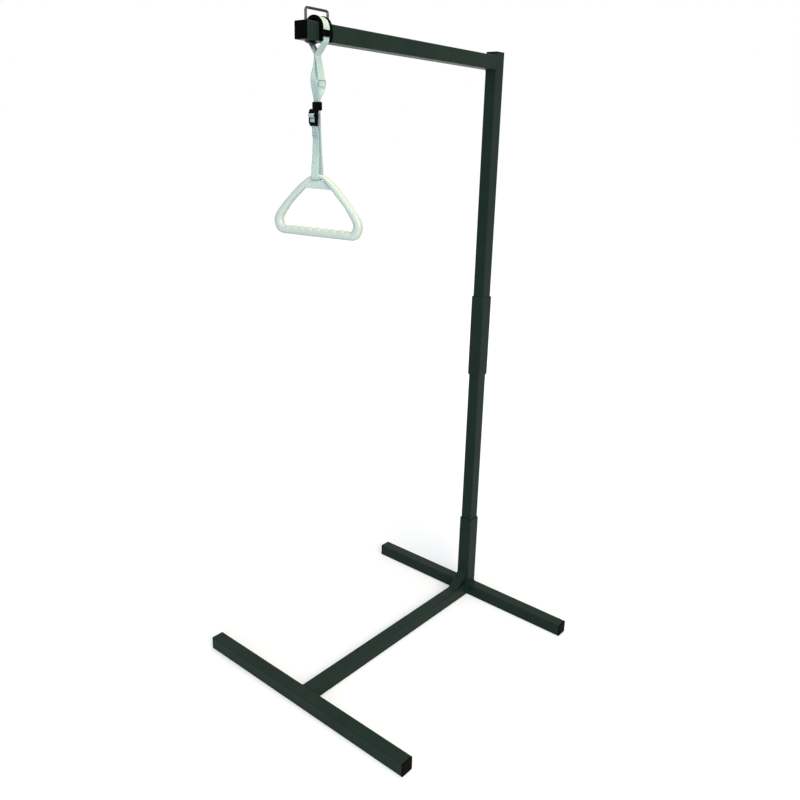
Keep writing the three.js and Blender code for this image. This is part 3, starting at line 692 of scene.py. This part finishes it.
def seam(name, stitches, body, broad=THREAD_HIGH):
    mesh = bmesh.new()
    for spot, along, front in stitches:
        axes = (along * STITCH_LENGTH / 2, front.cross(along) * broad, front * THREAD_HIGH)
        shape = Matrix.Translation(spot) @ Matrix(axes).transposed().to_4x4()
        bmesh.ops.create_uvsphere(mesh, u_segments=10, v_segments=8, radius=1, matrix=shape)
    for face in mesh.faces:
        face.smooth = True
    data = bpy.data.meshes.new(name)
    mesh.to_mesh(data)
    mesh.free()
    data.materials.append(thread)
    piece = linked(name, data)
    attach(piece, body)
    print(name, "has", len(stitches), "stitches")


print("a stitch is", STITCH_LENGTH / MM, "mm long")

# %% [markdown]
# ## The two strands
# Under the crossing the strap's two strands lie face to face, with their width along the arm. By the
# keeper both have turned to face the front, so they bow apart and twist on the way. The front strand
# turns in one short fold near its middle, the back one opens wide and closes late. Each row is one
# station: its share of the fall, millimetres sideways and back, and the way it faces in degrees.

# %% Strand stations
CROSSING = HANG.z - 46.8 * MM
STRAND_TOP = HANG.z - 47.6 * MM
STRAND_FALL = STRAND_TOP - KEEPER_TOP
STRAND_COUNT = 40
LAYER = 2.1 * MM
LOCK_TURN = -10
LAYER_SIDE = LAYER / MM * math.sin(math.radians(-LOCK_TURN))
LAYER_BACK = LAYER / MM * math.cos(math.radians(LOCK_TURN))

front_rows = [
    (0, -0.95, 0, 95),
    (0.15, -1.4, -0.4, 90),
    (0.31, -2.6, -1.2, 76),
    (0.415, -3.3, -2.8, 46),
    (0.52, -4.3, -5.9, 8),
    (0.63, -4.4, -5.8, 0),
    (0.74, -3.0, -4.2, -1),
    (0.85, -1.2, -3.0, -4),
    (0.95, -0.4, -2.4, -9),
    (1, -LAYER_SIDE, -LAYER_BACK, LOCK_TURN),
]
back_rows = [
    (0, 0.95, 0, 95),
    (0.15, 4.3, 1.4, 92),
    (0.31, 6.2, 2.8, 90),
    (0.415, 7.2, 3.9, 87),
    (0.52, 7.8, 5.0, 83),
    (0.63, 5.8, 6.2, 74),
    (0.74, 2.4, 6.6, 46),
    (0.85, 0.8, 3.6, 10),
    (0.95, 0.4, 2.4, -8),
    (1, LAYER_SIDE, LAYER_BACK, LOCK_TURN),
]


def strand(rows):
    stations = []
    last = len(rows) - 1
    for k in range(STRAND_COUNT + 1):
        place_in_rows = k / STRAND_COUNT * last
        i = min(int(place_in_rows), last - 1)
        share = place_in_rows - i
        near = [rows[min(max(j, 0), last)] for j in (i - 1, i, i + 1, i + 2)]
        fall, side, back, facing = (between(*(row[c] for row in near), share) for c in range(4))
        at = HANG + Vector((side * MM, back * MM, 0))
        at.z = STRAND_TOP - fall * STRAND_FALL
        stations.append(Station(at, turned(facing)))
    return stations


front_strand = strand(front_rows)
back_strand = strand(back_rows)
print("strands fall", round(STRAND_FALL * 1000), "mm from the crossing to the keeper")

# %% [markdown]
# ## Over the saddle
# From the crossing each half climbs outward, wraps the foot of the saddle, passes under the side
# bridge and meets the other half on the crown. Arcs and one tangent give this path, as a drawing
# would. Both halves are one mesh.

# %% Saddle webbing
GROOVE_RADIUS = 24.2 * MM
ARCH_RISE = 6.6 * MM
KNEE_DROP = 9 * MM
FOOT_DROP = 20.5 * MM
FOOT_SIDE = 20.75 * MM
UPPER_CUT = HANG.z - 60 * MM
LOWER_CUT = HANG.z - 106 * MM


def saddle_half(side):
    start = Vector((STRAP_THICK / 2 + STRAP_GAP / 2, CROSSING + STRAP_THICK - HANG.z))
    foot = Vector((FOOT_SIDE, -FOOT_DROP))
    knee = Vector((GROOVE_RADIUS, -KNEE_DROP))
    crown = Vector((0, ARCH_RISE))
    slope = math.atan2(start.y - foot.y, start.x - foot.x)
    leave = slope + math.acos(STRAP_RISE / (start - foot).length)
    taper = math.atan2(foot.x - knee.x, knee.y - foot.y)
    points = [start]
    for centre, radius, first, last, count in (
        (foot, STRAP_RISE, leave, taper, 6),
        (knee, STRAP_RISE, taper, 0, 4),
        (crown, GROOVE_RADIUS + STRAP_RISE, 0, math.pi / 2, 16),
    ):
        for k in range(count + 1):
            angle = first + (last - first) * k / count
            points.append(centre + radius * Vector((math.cos(angle), math.sin(angle))))
    return [Station(HANG + Vector((side * x, 0, z)), (0, 1, 0)) for x, z in points]


upper_front = cut_between(smoothed(front_strand, STRAP_STEP), STRAND_TOP, UPPER_CUT)
upper_back = cut_between(smoothed(back_strand, STRAP_STEP), STRAND_TOP, UPPER_CUT)
left_half = saddle_half(-1)
right_half = saddle_half(1)
over = list(reversed(upper_front)) + left_half + list(reversed(right_half))[1:] + upper_back
saddle_strap = ribbon("saddle_strap", smoothed(over, STRAP_STEP))
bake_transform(saddle_strap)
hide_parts("saddle_webbing")

# %% [markdown]
# ## Strands in two lengths
# Each strand is cut in two lengths: the upper one between the two cuts below the crossing, and the
# lower one from the second cut down to the keeper. Each strand is cut in two lengths, because a
# piece can bend across only one joint.

# %% Upper and lower strands
def strand_lengths(side, stations):
    fine = smoothed(stations, STRAP_STEP)
    upper = ribbon(side + "_strand_swing", cut_between(fine, UPPER_CUT, LOWER_CUT))
    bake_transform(upper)
    lower = ribbon(side + "_strand_feed", cut_between(fine, LOWER_CUT, KEEPER_TOP))
    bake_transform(lower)
    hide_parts(side + "_strand_upper")
    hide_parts(side + "_strand_lower")


strand_lengths("front", front_strand)
strand_lengths("back", back_strand)

# %% [markdown]
# ## The free tail
# The strap's end lies on the front face of the back strand. It is folded over and sewn, so that it
# can't slip back out of the keeper. The fold is modelled as the real one is: the strap turns round
# at the top and comes down again, and four rows of stitches hold it. The rows at the top and left
# are broader dark thread that also stands as painted shade: the heavy dark line of shadow along the
# hem's top and left edges.

# %% Tail with its hem
TAIL_TOP = HANG.z - 99.5 * MM
HEM = 14 * MM
HEM_SEAM = 12.6 * MM
HEM_GAP = 0.12 * MM
HEM_STEPS = 8
TAIL_LIFT = 0.5

tail_line = []
for station in cut_between(smoothed(back_strand, TAIL_STEP), TAIL_TOP, KEEPER_TOP):
    fall = (TAIL_TOP - station.at.z) / (TAIL_TOP - KEEPER_TOP)
    lift = LAYER * (1 + TAIL_LIFT * math.sin(math.pi * fall))
    tail_line.append(Station(station.at + front_of(station) * lift, station.across))
tail_line.reverse()
hem_top = tail_line[-1]
hem_pitch = STRAP_THICK + HEM_GAP
hem_turn = []
for k in range(1, HEM_STEPS):
    angle = math.pi * k / HEM_STEPS
    offset = front_of(hem_top) * (hem_pitch / 2 * (1 - math.cos(angle)))
    rise = Vector((0, 0, hem_pitch / 2 * math.sin(angle)))
    hem_turn.append(Station(hem_top.at + offset + rise, hem_top.across))
hem_down = [
    Station(station.at + front_of(station) * hem_pitch, station.across)
    for station in reversed(tail_line)
    if station.at.z > TAIL_TOP - HEM
]
tail = ribbon("tail_with_hem", tail_line + hem_turn + hem_down)
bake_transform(tail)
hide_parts("strap_tail")

hem_side = STRAP_WIDTH / 2 - SEAM_INSET
seam_bottom = TAIL_TOP - HEM_SEAM
seam_top = TAIL_TOP - 2.5 * MM
seam("hem_seam", row_across(hem_down, seam_bottom), "tail")
# The broad top and left rows are dark thread widened into painted shade, for the dark shadow line
# along the hem's edges.
seam("hem_top_seam_with_painted_shade", row_across(hem_down, TAIL_TOP - 1 * MM), "tail", broad=1.1 * MM)
seam("hem_left_seam_with_painted_shade", row_along(hem_down, -hem_side, seam_top, seam_bottom), "tail", broad=0.7 * MM)
seam("hem_right_seam", row_along(hem_down, hem_side, seam_top, seam_bottom), "tail")

# %% [markdown]
# ## Through the adjuster
# The strap drops out of the keeper, passes over the adjuster's upper bar from behind, shows in the
# window of the adjuster's front, and climbs back into the keeper as the tail. Its path is worked out
# in the adjuster's own directions, back and up, and the two runs near the keeper are points on the
# way to the bar: the share of the bar's depth, and the drop under the mouth in layers of strap.

# %% Strap round the upper bar
lock_axis = Matrix.Rotation(math.radians(LOCK_TURN), 4, "Z")
LOCK_WALL = 2.1 * MM
LOCK_INSIDE = 6.8 * MM
LOCK_BACK = -(LOCK_INSIDE / 2 + LOCK_WALL) - STRAP_GAP
LOCK_TOP = KEEPER_MOUTH - KEEPER_TOP + 3 * MM
UPPER_BAR = Vector((LOCK_BACK - 8.0 * MM, LOCK_TOP - 15 * MM))
UPPER_BAR_RADIUS = 2.7 * MM
LOWER_BAR = Vector((LOCK_BACK - 4.2 * MM, LOCK_TOP - 24.6 * MM))
LOWER_BAR_RADIUS = 2.1 * MM
LOCK_FOOT = LOCK_TOP - 37.5 * MM
INNER_RUN = ((0.206, 0.5), (0.36, 2.1), (0.66, 3.4))
OUTER_RUN = ((0.46, 4.2), (0.2, 3.1), (0.03, 1.6))


def in_lock(back, z, side=0):
    return HANG + Vector((0, 0, KEEPER_TOP - HANG.z)) + lock_axis @ Vector((side, back, z))


def round_bar(bar, radius, start, end, count=18):
    spots = []
    for k in range(count + 1):
        angle = math.radians(start + (end - start) * k / count)
        spots.append((bar.x + radius * math.cos(angle), bar.y + radius * math.sin(angle)))
    return spots


mouth = KEEPER_MOUTH - KEEPER_TOP


def under_mouth(rows):
    return [(share * UPPER_BAR.x, mouth - drop * LAYER) for share, drop in rows]


lock_points = [(-LAYER, 0), (-LAYER, mouth / 2), (-LAYER, mouth)]
lock_points += under_mouth(INNER_RUN)
lock_points += round_bar(UPPER_BAR, UPPER_BAR_RADIUS + STRAP_RISE, 90, 375)
lock_points += under_mouth(OUTER_RUN)
lock_points += [(0, mouth), (0, mouth / 2), (0, 0)]
lock_line = [Station(in_lock(back, z), turned(LOCK_TURN)) for back, z in lock_points]
lock_strap = ribbon("lock_strap", smoothed(lock_line, LOCK_STEP))
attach(lock_strap, "adjuster")
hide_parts("adjusting_webbing")

# %% [markdown]
# The adjuster itself is one moulding: two cheeks that narrow at the foot, a plate above and one
# below the window, and two bars with a thin black rung between them. The rung is painted shade: a
# dark piece that fills the shadowed gap between the two bands of webbing in the window. The upper
# bar stands a little proud of the cheeks, so the webbing bulges out over it and hides the far cheek.
# Each stretch is a prism across the strap, and the remesh welds them together. An outline lists
# depths and heights in millimetres from the top of the back.

# %% Adjuster
LOCK_INNER = 10.4 * MM
LOCK_OUTER = 14.0 * MM
PLATE_REACH = 12 * MM
BAR_REACH = 13 * MM
CHEEK = (
    (0, 0),
    (4.8, 0),
    (6.2, -2),
    (8.4, -7.5),
    (8.8, -11),
    (8.8, -30),
    (7.6, -35),
    (5.4, -37.5),
    (0, -37.5),
)
TOP_PLATE = ((5.6, -1.2), (8.2, -7.5), (8.2, -9.6), (6.4, -9.6), (3.6, -1.2))
FOOT_PLATE = (
    (8.3, -29.2),
    (8.3, -31.5),
    (7.6, -35),
    (6.4, -37.1),
    (4.9, -37.1),
    (6.4, -32.5),
    (6.6, -29.2),
)
# The rung is a dark piece standing in for painted shade in the gap between the two bands of webbing.
SHADE_GAP_RUNG = Vector((LOCK_BACK - 5.0 * MM, LOCK_TOP - 20.0 * MM))
SHADE_GAP_RUNG_RADIUS = 0.8 * MM
FOOT_START = LOCK_TOP - 29 * MM
FOOT_LENGTH = 8.5 * MM
FOOT_NARROWS = 0.2


def foot_share(z):
    below = (FOOT_START - z) / FOOT_LENGTH
    return 1 - FOOT_NARROWS * min(max(below, 0), 1) ** 1.5


def prism(mesh, outline, low, high):
    rings = [
        [mesh.verts.new(hung(in_lock(back, z, side * foot_share(z)))) for back, z in outline]
        for side in (low, high)
    ]
    count = len(outline)
    for k in range(count):
        beside = (k + 1) % count
        mesh.faces.new((rings[0][k], rings[0][beside], rings[1][beside], rings[1][k]))
    mesh.faces.new(list(reversed(rings[0])))
    mesh.faces.new(rings[1])


def from_lock_top(outline):
    return [(LOCK_BACK - depth * MM, LOCK_TOP + drop * MM) for depth, drop in outline]


lock = bmesh.new()
for side in (-1, 1):
    prism(lock, from_lock_top(CHEEK), side * LOCK_INNER, side * LOCK_OUTER)
for outline in (TOP_PLATE, FOOT_PLATE):
    prism(lock, from_lock_top(outline), -PLATE_REACH, PLATE_REACH)
for bar, radius in (
    (UPPER_BAR, UPPER_BAR_RADIUS),
    (LOWER_BAR, LOWER_BAR_RADIUS),
    (SHADE_GAP_RUNG, SHADE_GAP_RUNG_RADIUS),
):
    prism(lock, round_bar(bar, radius, 0, 345, 23), -BAR_REACH, BAR_REACH)
bmesh.ops.recalc_face_normals(lock, faces=lock.faces)
lock_data = bpy.data.meshes.new("adjuster_solid")
lock.to_mesh(lock_data)
lock.free()
moulded(
    "adjuster_frame",
    lock_data,
    voxel=0.32 * MM,
    rounds=4,
    body="adjuster",
    look=black,
)

# %% [markdown]
# The keeper is a plain black loop that holds both layers together above the adjuster. A copy of its
# solid is made a twentieth wider, hung with the strap's lean and moulded like the rest.

# %% Keeper
KEEPER_WIDER = 1.05


def wider(at):
    local = lock_axis.inverted() @ (at - HANG)
    local.x *= KEEPER_WIDER
    return hung(HANG + lock_axis @ local)


moulded(
    "strap_keeper",
    cad_copy("strap_keeper", wider),
    voxel=0.35 * MM,
    rounds=2,
    body="adjuster",
    look=black,
)

# %% [markdown]
# ## The handle's loop
# From the keeper the strap runs down behind the adjuster, turns to the handle's own direction, goes
# round under the apex and comes up again close to its other run. It passes over the adjuster's lower
# bar from behind, and its end hangs down in front, where two seams sew it to itself. Each row is a
# drop below the arm's middle and a distance back, in millimetres, and a share of the turn from the
# adjuster's direction to the handle's.

# %% Loop through the handle
HANDLE_DEPTH = 20 * MM
APEX = handle_high.z - APEX_THICK / 2 - HANDLE_SAG
APEX_STEPS = 16
LOOP_POWER = 0.58

rear_rows = [
    (145, 2.1, 0),
    (163, 2.1, 0),
    (190, 2.2, 0.08),
    (218, 2.6, 0.3),
    (240, 3.6, 0.55),
    (257, 4.8, 0.77),
    (275, 7.2, 0.93),
    (290, 10.0, 1),
]
front_run_rows = [
    (290, -10.2, 1),
    (275, -7.9, 0.93),
    (257, -5.6, 0.77),
    (235, -4.7, 0.5),
    (218, -4.5, 0.3),
    (205, -5.3, 0.12),
    (197, -6.2, 0.03),
    (190, -6.8, 0),
]
lap_rows = [
    (189.5, -12.0, 0),
    (197, -9.2, 0.03),
    (205, -7.3, 0.12),
    (213, -6.7, 0.22),
    (220, -6.5, 0.33),
]


def loop_station(back, z, share):
    turn = LOCK_TURN + (HANDLE_TURN - LOCK_TURN) * share
    at = Vector((HANG.x, HANG.y, 0)) + turned(turn + 90) * back
    at.z = z
    return Station(at, turned(turn))


def run(rows):
    return [loop_station(back * MM, HANG.z - drop * MM, share) for drop, back, share in rows]


def bow(value):
    return math.copysign(abs(value) ** LOOP_POWER, value)


half_depth = HANDLE_DEPTH / 2 + STRAP_RISE
half_height = APEX_THICK / 2 + STRAP_RISE
under_apex = []
for k in range(APEX_STEPS + 1):
    angle = math.pi * k / APEX_STEPS
    z = APEX - half_height * bow(math.sin(angle))
    under_apex.append(loop_station(half_depth * bow(math.cos(angle)), z, 1))
lower_bar = Vector((LOWER_BAR.x, KEEPER_TOP + LOWER_BAR.y))
bar_spots = round_bar(lower_bar, LOWER_BAR_RADIUS + STRAP_RISE, -10, 195)
over_bar = [loop_station(back, z, 0) for back, z in bar_spots]
lap = run(lap_rows)
loop_line = run(rear_rows) + under_apex + run(front_run_rows) + over_bar + lap
handle_strap = ribbon("handle_strap", smoothed(loop_line, STRAP_STEP))
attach(handle_strap, "adjuster")
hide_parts("handle_webbing")
lock_foot = KEEPER_TOP + LOCK_FOOT
for name, drop in (("upper_seam", 14), ("lower_seam", 20)):
    seam(name, row_across(smoothed(lap, STRAP_STEP), lock_foot - drop * MM), "adjuster")

# %% [markdown]
# ## Studio
# The photograph is a cut-out on white: the stand is seen from a little above, from its front right.
# The camera was solved from the tube edges in the photograph, so it is set by place, turn, tilt and
# roll, and a small shift brings the middle of the lens to where the photograph has it.

# %% Camera
camera_data = bpy.data.cameras.new("photo_camera")
camera = linked("photo_camera", camera_data)
FOCAL_PIXELS = 774.04
CENTRE_PIXEL = (414.54, 371.07)
CAMERA_PLACE = (1.34764, -1.59779, 1.48998)
CAMERA_TURNS = (39.102, 16.342, 1.889)
camera_data.sensor_width = 36
camera_data.lens = camera_data.sensor_width * FOCAL_PIXELS / PHOTO_SIZE
camera_data.shift_x = (PHOTO_SIZE / 2 - CENTRE_PIXEL[0]) / PHOTO_SIZE
camera_data.shift_y = (CENTRE_PIXEL[1] - PHOTO_SIZE / 2) / PHOTO_SIZE
camera_data.clip_end = 200
turn, tilt, roll = (math.radians(value) for value in CAMERA_TURNS)
level = math.cos(tilt)
ahead = Vector((-math.sin(turn) * level, math.cos(turn) * level, -math.sin(tilt)))
level_right = Vector((math.cos(turn), math.sin(turn), 0))
level_up = level_right.cross(ahead)
right = level_right * math.cos(roll) + level_up * math.sin(roll)
up = level_up * math.cos(roll) - level_right * math.sin(roll)
rotation = Matrix((right, up, -ahead)).transposed().to_4x4()
camera.matrix_world = Matrix.Translation(CAMERA_PLACE) @ rotation
bpy.context.scene.camera = camera
print("lens", round(camera_data.lens, 2), "mm")

# %% [markdown]
# Three large soft lamps light the object at a plain level. The light has colour in it: the lamps at
# the right and above are warm and the one in front is cool, so the two faces of a white strap part
# in tone. No lamp stands where the mast's front face would mirror it to the camera, or the dark coat
# would shine.

# %% Lamps
def lamp(name, place_at, target, size, power, colour):
    data = bpy.data.lights.new(name, "AREA")
    data.shape = "DISK"
    data.size = size
    data.energy = power
    data.color = colour
    made = linked(name, data)
    made.location = place_at
    made.rotation_euler = (Vector(target) - Vector(place_at)).to_track_quat("-Z", "Y").to_euler()
    print(name, "gives", power, "W")


stand_middle = (0, 0, 0.9)
lamp("right_lamp", (3.8, -1.7, 3.0), stand_middle, 2.6, 135, (1.0, 0.94, 0.58))
lamp("front_lamp", (2.4, -3.6, 1.5), (0, 0, 0.7), 2.4, 80, (0.66, 0.88, 1.0))
lamp("top_lamp", (0.3, 0.3, 4.2), stand_middle, 2.6, 70, (1.0, 0.93, 0.68))

# %% [markdown]
# The white background is only looked at, directly, in a gloss or through glass. Matt surfaces get no
# light from it: the world lights them with a weaker, slightly blue white. The floor is treated the
# same way: what is seen is a plain floor that also glows a little, and what bounces onto the object
# is plain. Near the stand the floor glows less, so that it keeps the stand's shadow.

# %% World and floor
SKY_LIGHT = 0.4
SKY_TINT = (0.88, 0.96, 1.0, 1)
WHITE = (1, 1, 1, 1)
GLOW_NEAR = (0.25, 0.25, 0.35, 1)
GLOW_FAR = (0.75, 0.75, 0.75, 1)
NEAR_EDGE = 0.6
FAR_EDGE = 3.0
FLOOR_PAINT = (0.8, 0.8, 0.8, 1)
FLOOR_BOUNCE = (0.44, 0.5, 0.56, 1)
FLOOR_SIZE = 160
FLOOR_DROP = 0.5 * MM
LOOKING_RAYS = ("Is Camera Ray", "Is Glossy Ray", "Is Transmission Ray")


def looked_at(shade):
    seen, mirrored, passed = (shade.node("ShaderNodeLightPath", out=name) for name in LOOKING_RAYS)
    return seen + mirrored + passed


world = bpy.data.worlds.new("white_studio")
bpy.context.scene.world = world
world.use_nodes = True
sky = Shade(world.node_tree)
open_sky = looked_at(sky)
feed(world.node_tree.nodes["Background"], {
    "Color": mixed(sky, open_sky, SKY_TINT, WHITE),
    "Strength": SKY_LIGHT + (1 - SKY_LIGHT) * open_sky,
})


def floor_finish(shade, surface):
    tree = shade.tree
    tree.nodes.remove(surface)
    away = shade.node("ShaderNodeVectorMath", {"operation": "LENGTH"}, {0: place(shade)}, out="Value")
    edges = {"Value": away, "From Min": NEAR_EDGE, "From Max": FAR_EDGE}
    share = shade.node("ShaderNodeMapRange", None, edges)
    glow = shade.node("ShaderNodeEmission", None, {"Color": mixed(shade, share, GLOW_NEAR, GLOW_FAR)})
    plain = shade.node("ShaderNodeBsdfDiffuse", None, {"Color": FLOOR_PAINT})
    bounce = shade.node("ShaderNodeBsdfDiffuse", None, {"Color": FLOOR_BOUNCE})
    seen = shade.node("ShaderNodeAddShader", None, {0: plain, 1: glow})
    both = shade.node("ShaderNodeMixShader", None, {0: looked_at(shade), 1: bounce, 2: seen})
    tree.links.new(both.socket, tree.nodes["Material Output"].inputs["Surface"])


bpy.ops.mesh.primitive_plane_add(size=FLOOR_SIZE, location=(0, 0, -FLOOR_DROP))
floor = bpy.context.object
floor.name = "floor"
floor.data.materials.append(finish("pale_floor", floor_finish))
bpy.context.scene.view_settings.view_transform = "Standard"
print("studio ready")

# %% Finish
ROD_GROWTH = 0.45 * MM
for node in NODES.values():
    if not node.hide_render:
        soften(node)
plating = NODES["keeper_rod"].modifiers.new("plating", "DISPLACE")
plating.strength = ROD_GROWTH
plating.mid_level = 0
